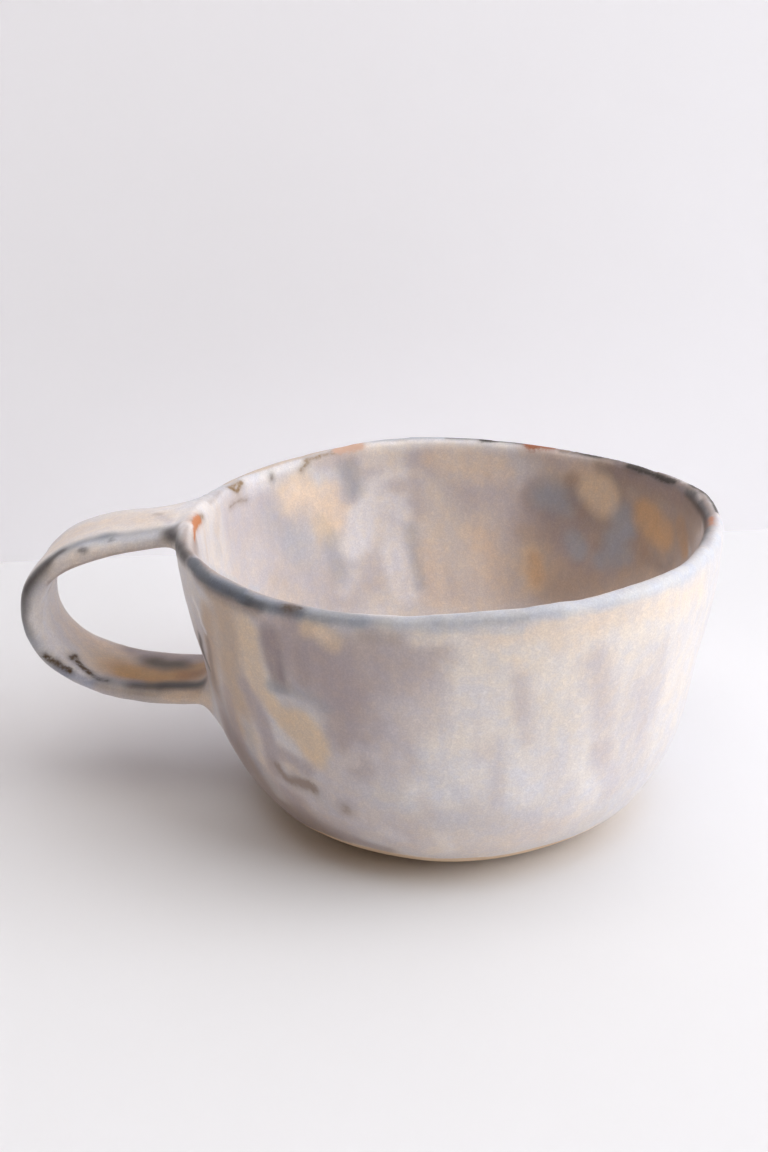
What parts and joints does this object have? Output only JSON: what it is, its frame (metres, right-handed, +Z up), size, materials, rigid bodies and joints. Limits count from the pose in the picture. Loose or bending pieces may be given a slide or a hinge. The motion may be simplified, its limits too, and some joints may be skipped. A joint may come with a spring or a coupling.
{
  "type": "ceramic cup",
  "caption": "Wide, low hand-pinched cup with a wandering rim, a broad strap handle luted on at the rim and the belly, and a flat foot to stand on; holds a hot drink.",
  "frame": {"origin": "centre of the flat foot, on the table", "axes": "+Z up out of the mouth, -X towards the handle, -Y towards the near side of the picture"},
  "size_m": [0.1435, 0.108, 0.0646],
  "materials": {
    "glazed_bowl": "satin reactive glaze, pale lilac grey mottled with cream, mauve and brown; bare clay under the foot",
    "glazed_strap": "satin reactive glaze, cream and blue grey, breaking dark along the edges",
    "glazed_luting": "satin reactive glaze over smeared clay, breaking brown"
  },
  "bodies": {
    "root": {"bowl": "glazed_bowl", "strap_handle": "glazed_strap", "upper_luting": "glazed_luting", "lower_luting": "glazed_luting"}
  },
  "joints": []
}
